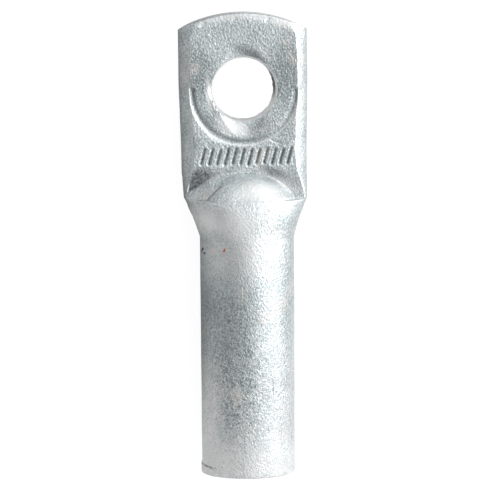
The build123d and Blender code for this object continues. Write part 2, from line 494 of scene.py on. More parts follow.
def lay(numbers, finish, closed=False):
    """Covers a grid of point numbers with four-sided faces."""
    if closed:
        numbers = np.column_stack([numbers, numbers[:, :1]])
    corners = (numbers[:-1, :-1], numbers[:-1, 1:], numbers[1:, 1:], numbers[1:, :-1])
    quads = np.stack(corners, axis=-1).reshape(-1, 4)
    lug_faces.extend(quads.tolist())
    lug_finish.extend([finish] * len(quads))


def side_points(y, front_z, back_z):
    """Bulged side between the faces, as (x, z) for each station in y and each column."""
    width = side_half(y)
    middle = side_middle(y)
    power = 2 / side_squareness(y)
    upper = np.arccos(np.clip(face_half(y) / width, 0, 1) ** (1 / power))
    lower = np.arccos(np.clip(back_half(y) / width, 0, 1) ** (1 / power))
    column = np.arange(SIDE_COLUMNS + 2) / (SIDE_COLUMNS + 1)
    turn = upper - column * (upper + lower)
    with np.errstate(divide="ignore", invalid="ignore"):
        tall_above = (front_z - middle) / np.sin(upper) ** power
        tall_below = (middle - back_z) / np.sin(lower) ** power
    tall = np.where(turn > 0, tall_above, tall_below)
    x = width * np.cos(turn) ** power
    z = middle + np.sign(turn) * tall * np.abs(np.sin(turn)) ** power
    return x, z


across = np.linspace(-1, 1, TOP_COLUMNS)
barrel_rows = MOUTH_Y + MOUTH_ROUNDING * (1 - np.cos(np.linspace(0, math.pi / 2, 5)))
lip_rows = np.arange(MOUTH_Y + LIP_LENGTH - 0.4, MOUTH_Y + LIP_LENGTH + 0.2, LIP_ROW)
barrel_rows = np.append(barrel_rows, lip_rows)
barrel_rows = np.append(barrel_rows, (MOUTH_Y + 0.5, MOUTH_Y + 0.9))
barrel_rows = np.sort(np.append(barrel_rows, np.arange(lip_rows[-1] + 0.3, FLARE_Y - 1, BARREL_ROW)))
flare_rows = np.linspace(FLARE_Y - 1, SHOULDER_Y - EDGE_ROUNDING, round((FLARE_LENGTH + 1) / FLARE_ROW))
flare_rows = np.append(flare_rows, SHOULDER_Y - EDGE_ROUNDING * np.array((0.75, 0.5, 0.3, 0.15, 0.05, 0)))
body_rows = np.concatenate([barrel_rows, flare_rows])[:, None]
front_x = face_half(body_rows) * across
back_x = -back_half(body_rows) * across
front_z = AXIS_Z + section_height(front_x, body_rows) - edge_drop(front_x, body_rows)
back_z = AXIS_Z - section_height(back_x, body_rows)
side_x, side_z = side_points(body_rows, front_z[:, -1:], back_z[:, :1])
loop_x = np.hstack([front_x, side_x[:, 1:-1], back_x, -side_x[:, -2:0:-1]])
loop_z = np.hstack([front_z, side_z[:, 1:-1], back_z, side_z[:, -2:0:-1]])
skew = CREASE_SKEW * (CREASE_FACE_HALF - loop_x) * eased(flare_run(body_rows))
loop_y = body_rows + skew


def lip_reach(x, z):
    """Share of the lip at the cable end, on the left and upwards, and the place where it ends."""
    turn = np.degrees(np.arctan2(z - AXIS_Z, -x))
    side = eased((turn - LIP_FROM[0]) / LIP_FROM[1]) * eased((LIP_TO[0] - turn) / LIP_TO[1])
    return side, MOUTH_Y + LIP_LENGTH - LIP_SLANT * turn


lip_side, lip_end = lip_reach(loop_x, loop_z)
lip = LIP_HEIGHT * lip_side * eased((lip_end - loop_y) / LIP_STEP)
loop_x = loop_x * (1 + lip / MOUTH_RADIUS)
loop_z = AXIS_Z + (loop_z - AXIS_Z) * (1 + lip / MOUTH_RADIUS)
body = add_points(loop_x, loop_y, loop_z)
lay(body, SKIN, closed=True)

# Cable end and bore: a flat sawn ring with a broken entry edge, then the wall that a twist drill
# left, down to its point. The stranded cable goes in here and the barrel is pressed round it.
BORE_RADIUS = mounts["cable_bore"]["dims"]["r_mm"]
BORE_CHAMFER = 0.35
BORE_DEPTH = 38.0
DRILL_POINT_ANGLE = 118.0
point_length = BORE_RADIUS / math.tan(math.radians(DRILL_POINT_ANGLE / 2))
end_radius = MOUTH_RADIUS - MOUTH_ROUNDING
ring_width = BORE_RADIUS + BORE_CHAMFER - end_radius
wall_depths = np.linspace(1.5, BORE_DEPTH - BORE_CHAMFER, 16)
point_shares = (0.7, 0.35, 0.03)
bore_outline = [(end_radius + share * ring_width, 0.0) for share in (0.2, 0.4, 0.6, 0.8, 1)]
bore_outline += [(BORE_RADIUS, BORE_CHAMFER)]
bore_outline += [(BORE_RADIUS, BORE_CHAMFER + depth) for depth in wall_depths]
bore_outline += [(BORE_RADIUS * share, BORE_DEPTH + point_length * (1 - share)) for share in point_shares]
bore_outline = np.array(bore_outline)
facing_x = loop_x[0] / np.hypot(loop_x[0], loop_z[0] - AXIS_Z)
facing_z = (loop_z[0] - AXIS_Z) / np.hypot(loop_x[0], loop_z[0] - AXIS_Z)
bore = add_points(
    bore_outline[:, :1] * facing_x,
    MOUTH_Y + bore_outline[:, 1:],
    AXIS_Z + bore_outline[:, :1] * facing_z,
)
lay(np.vstack([body[:1], bore]), DRILLED, closed=True)
drill_tip = add_points([0.0], [MOUTH_Y + BORE_DEPTH + point_length], [AXIS_Z])[0]
for here, there in zip(bore[-1], np.roll(bore[-1], -1)):
    lug_faces.append([here, there, drill_tip])
    lug_finish.append(DRILLED)

# Sides of the palm: the metal bulged out freely here between the dies. Each column of points ends
# on the sheared arc, which is found by closing in on it.
PALM_ROW = 0.17
STEP_RUN = 0.05
END_ROUNDS = 40
START_SKEW_POWER = 6
palm_start = SHOULDER_Y + STEP_RUN
palm_rows = round((TIP_Y - palm_start) / PALM_ROW)
share = np.linspace(0, 1, palm_rows)[:, None]
sides = []
for hand in (1, -1):
    column_end = np.full(SIDE_COLUMNS + 2, TIP_Y - 2.0)
    for _ in range(END_ROUNDS):
        x, z = side_points(column_end[:, None], PALM_TOP, PALM_BACK)
        level = (np.diagonal(z) - PALM_BACK) / (PALM_TOP - PALM_BACK)
        sheared_y = tip_y(hand * np.diagonal(x)) - shear_lean(level)
        column_end = 0.5 * column_end + 0.5 * sheared_y
    side_y = palm_start + share * (column_end[None, :] - palm_start)
    start_skew = CREASE_SKEW * (CREASE_FACE_HALF - hand * CREASE_FACE_HALF)
    start_skew = start_skew * (1 - share) ** START_SKEW_POWER
    grid_x = np.empty_like(side_y)
    grid_z = np.empty_like(side_y)
    for column in range(SIDE_COLUMNS + 2):
        at = side_y[:, column : column + 1]
        edge_z = front_height(hand * face_half(at), np.maximum(at, crease_y(hand * face_half(at))))
        low_z = back_height(hand * back_half(at), at)
        x, z = side_points(at, edge_z, low_z)
        grid_x[:, column] = hand * x[:, column]
        grid_z[:, column] = z[:, column]
    sides.append((grid_x, side_y + start_skew, grid_z))

# First row of the palm: the foot of the step down from the shoulder.
(right_x, right_y, right_z), (left_x, left_y, left_z) = sides
first_front_x = np.linspace(left_x[0, 0], right_x[0, 0], TOP_COLUMNS)
first_front_y = np.linspace(left_y[0, 0], right_y[0, 0], TOP_COLUMNS)
first_back_x = np.linspace(right_x[0, -1], left_x[0, -1], TOP_COLUMNS)
first_back_y = np.linspace(right_y[0, -1], left_y[0, -1], TOP_COLUMNS)
first_front_z = front_height(first_front_x, first_front_y)
first_back_z = back_height(first_back_x, first_back_y)
first_front = add_points(first_front_x[1:-1], first_front_y[1:-1], first_front_z[1:-1])
first_back = add_points(first_back_x[1:-1], first_back_y[1:-1], first_back_z[1:-1])
right = add_points(right_x, right_y, right_z)
left = add_points(left_x, left_y, left_z)
lay(right, SKIN)
lay(left[:, ::-1], SKIN)
step_foot = np.concatenate([left[0, :1], first_front, right[0], first_back, left[0, :0:-1]])
lay(np.vstack([body[-1], step_foot]), SKIN, closed=True)

# Sheared end: the blade cut the palm round, from the front face down to the back, and left the
# lower edge a little way back.
TIP_COLUMNS = 81
end_level = (right_z[-1] - right_z[-1, -1]) / (right_z[-1, 0] - right_z[-1, -1])
end_share = np.linspace(0, 1, TIP_COLUMNS)[None, :]
end_x = left_x[-1][:, None] * (1 - end_share) + right_x[-1][:, None] * end_share
top_z = front_height(end_x[0], tip_y(end_x[0]) - 0.001)
low_z = back_height(end_x[-1], tip_y(end_x[-1]))
end_z = low_z + (top_z - low_z) * end_level[:, None]
end_y = tip_y(end_x) - shear_lean(end_level[:, None])
inner = add_points(end_x[:, 1:-1], end_y[:, 1:-1], end_z[:, 1:-1])
tip = np.column_stack([left[-1], inner, right[-1]])
lay(tip, SHEARED)

# Wall of the stud hole: cut smooth by the punch at the top, rolled over at the brim, and broken
# out wider at the back, where a ragged lip stands into the hole on one side.
HOLE_POINTS = 176
HOLE_ROWS = 10
LIP_ANGLE = 8.0
LIP_SPREAD = 34.0
LIP_REACH = 0.3
LIP_RAGGED = 0.25
WALL_UNEVEN = 0.05
BREAKOUT = 0.15
ROLL_DEPTH = (0.3, 0.25)  # share of the wall that the brim rolls over, and more towards the tip
hole_turn = np.linspace(-math.pi, math.pi, HOLE_POINTS, endpoint=False)
hole_depth = np.linspace(0, 1, HOLE_ROWS)[:, None]
ragged = np.exp(-(((np.degrees(hole_turn) - LIP_ANGLE) / LIP_SPREAD) ** 2))
ragged = ragged * (1 + LIP_RAGGED * np.sin(hole_turn * 23) * np.sin(hole_turn * 9 + 1))
uneven = WALL_UNEVEN * np.sin(hole_turn * 17) * np.sin(hole_turn * 7) * hole_depth**2
roll_depth = ROLL_DEPTH[0] + ROLL_DEPTH[1] * np.clip(np.sin(hole_turn), 0, 1)
rolled = brim_roll(hole_turn) * np.clip(1 - hole_depth / roll_depth, 0, 1) ** 2
hole_out = HOLE_RADIUS + uneven + rolled + BREAKOUT * eased((hole_depth - 0.5) / 0.5)
hole_out = hole_out - LIP_REACH * ragged * eased((hole_depth - 0.25) / 0.6)
hole_x = hole_out * np.cos(hole_turn)
hole_y = hole_out * np.sin(hole_turn)
brim_z = front_height(hole_x[0], hole_y[0])
hole = add_points(hole_x, hole_y, brim_z * (1 - hole_depth) + PALM_BACK * hole_depth)
lay(hole, SHEARED, closed=True)

# Faces of the palm: both are covered with fine triangles that follow their borders, the brim of
# the hole and each pressed line.
FRONT_SPACING = 0.17
BACK_SPACING = 0.38
BORDER_ROOM = 0.6  # a point keeps this share of the spacing clear of the border
LINE_ROOM = 0.62  # and this share clear of the points that are there already
BACK_HOLE_ROOM = 0.1
FOLD_ASIDE = 0.11


def cover(loops, curves, spacing, bounds, height):
    """Covers a face of the palm with triangles that follow its border loops and pressed curves."""
    known = np.concatenate(lug_points)
    numbers = np.concatenate(loops)
    flat = [Vector(point[:2]) for point in known[numbers]]
    edges = []
    start = 0
    for loop in loops:
        edges += [(start + i, start + (i + 1) % len(loop)) for i in range(len(loop))]
        start += len(loop)
    for curve in curves:
        inside = [bounds(*point) > BORDER_ROOM * spacing for point in curve]
        last = None
        for point, kept in zip(curve, inside):
            if kept:
                flat.append(Vector(point))
                if last is not None:
                    edges.append((last, len(flat) - 1))
            last = len(flat) - 1 if kept else None
    tree = kdtree.KDTree(len(flat))
    for i, point in enumerate(flat):
        tree.insert((point[0], point[1], 0), i)
    tree.balance()
    rows = np.arange(SHOULDER_Y, TIP_Y, spacing * math.sqrt(3) / 2)
    for i, y in enumerate(rows):
        for x in np.arange(-CREASE_FACE_HALF + (i % 2) * spacing / 2, CREASE_FACE_HALF, spacing):
            off_line = tree.find((x, y, 0))[2] > LINE_ROOM * spacing
            if off_line and bounds(x, y) > BORDER_ROOM * spacing:
                flat.append(Vector((x, y)))
    spots, _, triangles, origins, _, _ = delaunay_2d_cdt(flat, edges, [], 1, 1e-7)
    number = np.full(len(spots), -1)
    for i, sources in enumerate(origins):
        on_border = [s for s in sources if s < len(numbers)]
        if on_border:
            number[i] = numbers[on_border[0]]
    fresh = np.flatnonzero(number < 0)
    fresh_xy = np.array([spots[i][:2] for i in fresh])
    number[fresh] = add_points(fresh_xy[:, 0], fresh_xy[:, 1], height(fresh_xy[:, 0], fresh_xy[:, 1]))
    hole_numbers = set(loops[1].tolist())
    for triangle in triangles:
        corners = [int(number[i]) for i in triangle]
        if not hole_numbers.issuperset(corners):
            lug_faces.append(corners)
            lug_finish.append(SKIN)


def front_room(x, y):
    """Distance inside the front face's border, or less than nothing outside."""
    sides_room = float(face_half(np.array(y))) - abs(x)
    ends_room = min(float(tip_y(np.array(x))) - y, y - crease_y(x) - STEP_RUN)
    return min(sides_room, ends_room, math.hypot(x, y) - HOLE_RADIUS - brim_roll(math.atan2(y, x)))


def back_room(x, y):
    sides_room = float(back_half(np.array(y))) - abs(x)
    ends_room = min(float(tip_y(np.array(x))) - TIP_LEAN - y, y - crease_y(x) - STEP_RUN)
    return min(sides_room, ends_room, math.hypot(x, y) - HOLE_RADIUS - BREAKOUT - BACK_HOLE_ROOM)


def arc_points(radius, start, end, count):
    turns = np.radians(np.linspace(start, end, count))
    return [(radius * math.cos(t), radius * math.sin(t)) for t in turns]


def dome_foot(height, count):
    """Line where the dome meets the face round it."""
    points = []
    for turn in np.radians(np.linspace(8, 172, count)):
        near, far = 4.0, 12.0
        for _ in range(30):
            out = (near + far) / 2
            x, y = out * math.cos(turn), DOME_Y + out * math.sin(turn)
            if height(x, y):
                near = out
            else:
                far = out
        points.append((near * math.cos(turn), DOME_Y + near * math.sin(turn)))
    return points


def front_dome_higher(x, y):
    return dome_level(x, y) > PALM_TOP + ramp(x, y)


def back_dome_lower(x, y):
    return AXIS_Z - dome_height(x, y) < PALM_BACK


RIM_TURNS = np.radians(np.linspace(-180, 180, 241))
rim_line = [(rim_outline(t) * math.cos(t), rim_outline(t) * math.sin(t)) for t in RIM_TURNS]
front_curves = [rim_line, dome_foot(front_dome_higher, 150)]
for aside in (-FOLD_ASIDE, 0.0, FOLD_ASIDE):
    front_curves.append([(x + aside * 0.7, y - aside * 0.7) for x, y in LAP_LINE[:4]])
for off in (-RING_HALF, 0.0, RING_HALF):
    front_curves.append(arc_points(RING_RADIUS + off, -178, -2, 150))
for (start_x, start_y), (end_x, end_y) in stroke_lines():
    steps = np.linspace(0, 1, 20)
    line = [(start_x + s * (end_x - start_x), start_y + s * (end_y - start_y)) for s in steps]
    front_curves.append(line)
front_loop = np.concatenate([left[0, :1], first_front, right[:, 0], tip[0, -2:0:-1], left[:0:-1, 0]])
cover([front_loop, hole[0]], front_curves, FRONT_SPACING, front_room, front_height)
back_loop = np.concatenate([right[0, -1:], first_back, left[:, -1], tip[-1, 1:-1], right[:0:-1, -1]])
back_curves = [dome_foot(back_dome_lower, 70)]
cover([back_loop, hole[-1]], back_curves, BACK_SPACING, back_room, back_height)

# One closed skin: the lug was forged from a single bar, so all of its faces make one piece.
lug_mesh = bpy.data.meshes.new("forged_lug")
lug_xyz = np.concatenate(lug_points)
lug_mesh.from_pydata((lug_xyz * MM).tolist(), [], lug_faces)
lug_mesh.polygons.foreach_set("material_index", np.array(lug_finish, np.int32))
cleaner = bmesh.new()
cleaner.from_mesh(lug_mesh)
bmesh.ops.recalc_face_normals(cleaner, faces=cleaner.faces)
cleaner.to_mesh(lug_mesh)
cleaner.free()

# The barrel stands a little to the right of the palm, and leans back to the middle at its end.
BARREL_SHIFT = (  # place along the lug, and how far to the right
    (-65.0, 0.0),
    (-31.0, 0.24),
    (-24.8, 0.3),
    (-21.0, 0.2),
    (-18.4, 0.11),
    (-14.4, 0.05),
)
shift_at, shift_by = np.array(BARREL_SHIFT).T
lug_xyz[:, 0] += np.interp(lug_xyz[:, 1], shift_at, shift_by, right=0.0)

# Waviness that forging and tumbling leave in the whole skin, broad and fine.
WAVES = ((5.0, 0.03), (1.6, 0.012), (0.6, 0.005))  # size and height
SHARP_ANGLE = 42.0
normals = np.empty(len(lug_mesh.vertices) * 3)
lug_mesh.vertex_normals.foreach_get("vector", normals)
normals = normals.reshape(-1, 3)
waves = np.zeros(len(lug_xyz))
for size, height in WAVES:
    waves += height * np.array([noise.noise(Vector(point / size)) for point in lug_xyz])
lug_xyz = np.clip(lug_xyz + normals * waves[:, None], lug_low, lug_high)
lug_mesh.vertices.foreach_set("co", (lug_xyz * MM).ravel())
lug_mesh.polygons.foreach_set("use_smooth", np.ones(len(lug_mesh.polygons), bool))
lug_mesh.set_sharp_from_angle(angle=math.radians(SHARP_ANGLE))
lug_mesh.update()
lug = bpy.data.objects.new("forged_lug", lug_mesh)
bpy.context.scene.collection.objects.link(lug)
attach(lug, "root")
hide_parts("cable_lug")

# Marks on the skin, point by point: dirt and painted shade in what is pressed in, painted shade in
# patches, frosting, painted highlights with some wear on what stands out, and painted shade on the torn
# wall.
# Dirt and painted shade in what is pressed in: the ring, the strokes, the dome's foot and the fold.
DIRT_AND_SHADE_IN = {"ring": 0.55, "strokes": 0.9, "foot": 0.35, "fold": 0.75}
FOOT_REACH = 0.25
# Patches of painted shade with some dirt: before the crease, near the palm's left edge and between the
# hole and the tip.
SHADE_AND_DIRT_PATCHES = (  # middle, half sizes, turn in degrees, strength
    (-8.3, -15.3, 2.8, 1.8, 31, 2.0),
    (-6.2, -14.5, 2.4, 0.75, 24, 0.75),
    (-3.0, -13.6, 2.2, 0.45, 18, 0.5),
    (5.3, -14.3, 2.7, 0.95, -30, 1.25),
    (-9.0, -3.5, 0.35, 5.5, -3, 0.45),
    (-8.6, -9.0, 0.9, 2.2, 0, 0.5),
    (1.4, 5.9, 3.6, 0.9, -32, 0.75),
)


def patch(x, y, middle_x, middle_y, half_x, half_y, turn):
    c, s = math.cos(math.radians(turn)), math.sin(math.radians(turn))
    across = ((x - middle_x) * c + (y - middle_y) * s) / half_x
    along = ((y - middle_y) * c - (x - middle_x) * s) / half_y
    return np.exp(-((across**2 + along**2) ** 1.3))


# Painted shade in patches round the hole, before the crease and along the barrel; the palm is also darker
# all over from just before the strokes to the tip.
DARKENED_ALL_OVER = 0.27
SHADE_AND_DULL_PATCHES = (
    (-7.9, 2.8, 2.8, 5.5, 0, 1.4),
    (7.4, 2.6, 3.2, 6.6, 0, 1.4),
    (-6.3, -4.2, 2.4, 3.0, 30, 0.7),
    (7.0, -7.0, 1.9, 3.2, 0, 0.7),
    (6.4, 7.6, 2.6, 2.6, 0, 0.5),
    (-7.8, -8.5, 1.3, 2.5, 0, 0.5),
    (8.5, -16.4, 2.6, 2.2, 0, 1.5),
    (2.6, -6.6, 3.2, 1.7, 30, 1.2),
    (-5.4, -4.8, 2.2, 1.5, -50, 1.2),
    (-0.5, -8.9, 7.5, 1.2, 0, 0.45),
    (-2.6, -46.5, 4.6, 14.0, 0, 1.35),
    (-5.0, -36.5, 3.6, 7.0, 0, 0.8),
    (6.3, -38.0, 1.0, 6.0, 0, 0.5),
)
FROSTED_PATCHES = (
    (-8.2, -22.0, 2.8, 2.6, 30, 0.95),
    (-6.5, -28.0, 2.4, 4.0, 0, 0.35),
    (-6.8, -56.0, 2.0, 9.0, 0, 0.9),
    (-1.8, -22.3, 4.0, 2.2, 0, 0.45),
)
# Painted highlights with some wear: on the ring's outer edge, along the face's edges, near the tip, in
# patches round the hole, on the dome and the flare, and along the crease step.
HIGHLIGHT_AND_WEAR_ON = {"ring": 0.7, "edge": 0.8, "tip": 0.7}
HIGHLIGHT_AND_WEAR_PATCHES = (
    (-1.6, -6.3, 2.9, 1.3, -18, 0.95),
    (-3.6, -5.2, 1.6, 1.0, -50, 0.8),
    (-5.75, -0.6, 0.5, 3.2, 4, 0.9),
    (3.5, -16.6, 5.5, 2.2, 0, 0.9),
    (-2.5, -21.3, 5.0, 2.6, 0, 0.75),
    (-0.8, -26.8, 3.3, 4.5, 0, 0.75),
)
lug_x, lug_y, lug_z = np.concatenate(lug_points).T
past_crease = lug_y > crease_y(lug_x) + 0.5 * STEP_RUN
on_front = past_crease & (lug_z > PALM_MIDDLE) & (np.abs(lug_x) <= face_half(lug_y) + 0.01)
soiled = np.clip(ring_drop(lug_x, lug_y) / RING_DEPTH, 0, 1) ** 2 * DIRT_AND_SHADE_IN["ring"]
in_strokes = np.clip(stroke_drop(lug_x, lug_y) / STROKE_DEPTH, 0, 1)
soiled = np.maximum(soiled, in_strokes * DIRT_AND_SHADE_IN["strokes"])
off_foot = np.abs(dome_level(lug_x, lug_y) - PALM_TOP - ramp(lug_x, lug_y))
shade_at_foot = np.exp(-((off_foot / FOOT_REACH) ** 2))
soiled = np.maximum(soiled, shade_at_foot * DIRT_AND_SHADE_IN["foot"] * eased((lug_y + 18.0) / 1.5))
soiled = np.maximum(soiled, np.sqrt(lap_drop(lug_x, lug_y) / LAP_DEPTH) * DIRT_AND_SHADE_IN["fold"])
off_wedge = eased((0.5 - wedge_height(lug_x, lug_y)) / 0.6)
for *place_and_size, strength in SHADE_AND_DIRT_PATCHES:
    soiled = np.maximum(soiled, patch(lug_x, lug_y, *place_and_size) * strength * off_wedge)
soiled = np.where(on_front, np.clip(soiled, 0, 1), 0)
# Painted shade in the crevice under the lip at the cable end.
skin_lip_side, skin_lip_end = lip_reach(lug_x, lug_z)
shade_under_lip = np.exp(-(((lug_y - skin_lip_end + 0.04) / 0.11) ** 2))
soiled = np.maximum(soiled, skin_lip_side * shade_under_lip)

ring_off = np.hypot(lug_x, lug_y) - RING_RADIUS - RING_HALF
rubbed = np.exp(-((ring_off / 0.16) ** 2)) * (lug_y < 0.3) * HIGHLIGHT_AND_WEAR_ON["ring"]
edge_off = face_half(lug_y) - np.abs(lug_x)
rubbed = np.maximum(rubbed, np.exp(-((edge_off / 0.1) ** 2)) * (lug_y < 8.5) * HIGHLIGHT_AND_WEAR_ON["edge"])
tip_off = tip_y(np.clip(lug_x, -10, 10)) - lug_y - 0.5
tip_band = np.exp(-((tip_off / 0.55) ** 2)) * eased((lug_x + 9) / 3)
rubbed = np.maximum(rubbed, tip_band * HIGHLIGHT_AND_WEAR_ON["tip"])
rubbed = np.where(on_front, rubbed, 0)
upper_skin = on_front | (~past_crease & (lug_z > AXIS_Z))
for *place_and_size, strength in HIGHLIGHT_AND_WEAR_PATCHES:
    rubbed = np.maximum(rubbed, patch(lug_x, lug_y, *place_and_size) * upper_skin * strength)
# Painted highlight along the step at the crease beside the dome.
near_step = (np.abs(lug_y - crease_y(lug_x)) < 0.25) * eased((CREASE_FACE_HALF - np.abs(lug_x)) / 0.5)
beside_dome = eased((np.where(lug_x < 0, -2.0, 0.0) + np.abs(lug_x) - 5.6) / 1.2)
rubbed = np.maximum(rubbed, near_step * (lug_z > AXIS_Z) * beside_dome)
dulled = DARKENED_ALL_OVER * eased((lug_y + 13.5) / 2)
for *place_and_size, strength in SHADE_AND_DULL_PATCHES:
    dulled = np.maximum(dulled, patch(lug_x, lug_y, *place_and_size) * strength)
dulled = np.where(on_front | ((lug_y < FLARE_Y) & (lug_z > AXIS_Z)), dulled, 0)

# The hole's wall on its torn side, darkened with painted shade as well as torn.
TORN_SPREAD = 28.0
TORN_BELOW = 0.6  # the wall is torn from this far under the face
around = np.degrees(np.arctan2(lug_y, lug_x))
in_hole = np.hypot(lug_x, lug_y) < HOLE_RADIUS + 0.15
torn = in_hole * np.exp(-(((around - TORN_ANGLE) / TORN_SPREAD) ** 4))
torn = torn * eased((PALM_TOP - TORN_BELOW - lug_z) / TORN_BELOW)
frosted = eased((-55.5 - lug_y) / 7) * (1 - 0.45 * eased((lug_x + 5.5) / 5))
for *place_and_size, strength in FROSTED_PATCHES:
    frosted = np.maximum(frosted, patch(lug_x, lug_y, *place_and_size) * strength)
frosted = frosted * (lug_z > AXIS_Z - 3)
marks = (("soiled", soiled), ("rubbed", rubbed), ("dulled", dulled), ("torn", torn), ("frosted", frosted))
for name, amount in marks:
    spread_over = lug_mesh.attributes.new(name, "FLOAT", "POINT")
    spread_over.data.foreach_set("value", np.asarray(amount, np.float32))

# Grain: the fine pitted skin that forging and tumbling leave in the metal, as a height from 0 to
# 1, with a mottle, dark specks in some places and broad patches.
FLOAT, VECTOR = "NodeSocketFloat", "NodeSocketVector"


def add(tree, kind, settings=None, **sockets):
    """Adds a node; each socket is given as a plain value or as the output that feeds it."""
    made = tree.nodes.new(kind)
    for setting, value in (settings or {}).items():
        setattr(made, setting, value)
    for socket, value in sockets.items():
        key = int(socket[1:]) if socket[1:].isdigit() else socket.replace("_", " ")
        if isinstance(value, bpy.types.NodeSocket):
            tree.links.new(value, made.inputs[key])
        else:
            made.inputs[key].default_value = value
    return made


def maths(tree, operation, *values, clamp=False):
    """Works on plain values, given in the node's own order."""
    sockets = {f"i{i}": value for i, value in enumerate(values)}
    return add(tree, "ShaderNodeMath", {"operation": operation, "use_clamp": clamp}, **sockets).outputs[0]


def vectors(tree, operation, *values):
    """Works on vectors, given in the node's own order."""
    sockets = {f"i{i}": value for i, value in enumerate(values)}
    return add(tree, "ShaderNodeVectorMath", {"operation": operation}, **sockets).outputs[0]


def stretched(tree, value, low, high, to_low=0.0, to_high=1.0):
    """Smooth step of a value from low to high."""
    smooth = {"interpolation_type": "SMOOTHSTEP"}
    limits = {"From_Min": low, "From_Max": high, "To_Min": to_low, "To_Max": to_high}
    return add(tree, "ShaderNodeMapRange", smooth, Value=value, **limits).outputs[0]


def cloud(tree, at, size, detail=2.0, roughness=0.5, offset=(0, 0, 0)):
    """Noise with features of this size in millimetres."""
    moved = vectors(tree, "ADD", at, offset)
    return add(
        tree, "ShaderNodeTexNoise", Vector=moved, Scale=1 / size, Detail=detail, Roughness=roughness
    ).outputs["Fac"]


def new_group(name, takes, gives):
    group = bpy.data.node_groups.new(name, "ShaderNodeTree")
    for socket, kind, value in takes:
        made = group.interface.new_socket(socket, in_out="INPUT", socket_type=kind)
        if value is not None:
            made.default_value = value
    for socket, kind in gives:
        group.interface.new_socket(socket, in_out="OUTPUT", socket_type=kind)
    return group, group.nodes.new("NodeGroupInput").outputs, group.nodes.new("NodeGroupOutput").inputs


grain_group, taken, given = new_group(
    "tumbled_grain",
    [("Place", VECTOR, None), ("Size", FLOAT, 0.3), ("Length", FLOAT, 1.0)],
    [("Height", FLOAT), ("Mottle", FLOAT), ("Specks", FLOAT), ("Patches", FLOAT)],
)
tree = grain_group
shrink = maths(tree, "DIVIDE", 1.0, taken["Size"])
along = maths(tree, "DIVIDE", shrink, taken["Length"])
scale = add(tree, "ShaderNodeCombineXYZ", X=shrink, Y=along, Z=shrink).outputs[0]
at = vectors(tree, "MULTIPLY", taken["Place"], scale)
coarse = cloud(tree, at, 1.0, detail=3.0, roughness=0.7)
dimples = add(tree, "ShaderNodeTexVoronoi", {"feature": "SMOOTH_F1"}, Vector=at, Scale=0.8, Smoothness=0.6)
height = maths(tree, "MULTIPLY_ADD", dimples.outputs["Distance"], 0.6, coarse)
tree.links.new(height, given["Height"])
tree.links.new(stretched(tree, cloud(tree, at, 0.9, 2.0, offset=(9, 2, 6)), 0.32, 0.68), given["Mottle"])
specks = stretched(tree, cloud(tree, at, 0.75, detail=1.0, offset=(17, 5, 3)), 0.58, 0.76)
broken = stretched(tree, cloud(tree, taken["Place"], 2.4, offset=(3, 8, 1)), 0.4, 0.62)
tree.links.new(maths(tree, "MULTIPLY", specks, broken), given["Specks"])
patches = cloud(tree, taken["Place"], 3.2, detail=4.0, roughness=0.62, offset=(1, 2, 9))
tree.links.new(patches, given["Patches"])

# Scuffs: short bright scratches in the bare metal at several angles, bent a little, from lugs
# sliding over each other in the drum and the bin.
SCUFF_ANGLES = (12, 57, 101, 148)
SCUFF_BEND = (0.9, 0.9, 0.9)


def turned_flat(tree, vector, angle):
    """The vector turned about the upright axis."""
    upright = {"rotation_type": "Z_AXIS"}
    return add(tree, "ShaderNodeVectorRotate", upright, Vector=vector, Angle=angle).outputs[0]


scuff_group, taken, given = new_group(
    "scuffs",
    [("Place", VECTOR, None), ("Length", FLOAT, 1.2), ("Width", FLOAT, 0.1), ("Share", FLOAT, 0.3)],
    [("Scuffs", FLOAT)],
)
tree = scuff_group
bent = add(tree, "ShaderNodeTexNoise", Vector=taken["Place"], Scale=0.9, Detail=1.0).outputs["Color"]
bent = vectors(tree, "SUBTRACT", bent, (0.5, 0.5, 0.5))
at = vectors(tree, "MULTIPLY_ADD", bent, SCUFF_BEND, taken["Place"])
long_scale = maths(tree, "DIVIDE", 1.0, taken["Length"])
short_scale = maths(tree, "DIVIDE", 1.0, taken["Width"])
limit = maths(tree, "SUBTRACT", 0.78, maths(tree, "MULTIPLY", taken["Share"], 0.3))
total = 0.0
for i, turn in enumerate(SCUFF_ANGLES):
    turned = turned_flat(tree, at, math.radians(turn))
    scale = add(tree, "ShaderNodeCombineXYZ", X=long_scale, Y=short_scale, Z=long_scale).outputs[0]
    spread = vectors(tree, "MULTIPLY", turned, scale)
    streak = cloud(tree, spread, 1.0, detail=0.0, offset=(7 * i, 3 * i, 11 * i))
    over = maths(tree, "MULTIPLY", maths(tree, "SUBTRACT", streak, limit), 9.0, clamp=True)
    total = maths(tree, "ADD", total, over, clamp=True)
tree.links.new(total, given["Scuffs"])

# One struck mark: a slim spot of this length and width, turned about the upright axis, for a
# nick, a long scratch or a speck.
mark_group, taken, given = new_group(
    "struck_mark",
    [
        ("Place", VECTOR, None),
        ("Middle", VECTOR, None),
        ("Turn", FLOAT, 0.0),
        ("Half Length", FLOAT, 0.5),
        ("Half Width", FLOAT, 0.1),
    ],
    [("Mark", FLOAT)],
)
tree = mark_group
away = vectors(tree, "SUBTRACT", taken["Place"], taken["Middle"])
turned = turned_flat(tree, away, taken["Turn"])
scale = add(tree, "ShaderNodeCombineXYZ", X=taken["Half Length"], Y=taken["Half Width"], Z=0.7).outputs[0]
share = vectors(tree, "DIVIDE", turned, scale)
far = add(tree, "ShaderNodeVectorMath", {"operation": "LENGTH"}, i0=share).outputs["Value"]
tree.links.new(stretched(tree, far, 1.15, 0.65), given["Mark"])

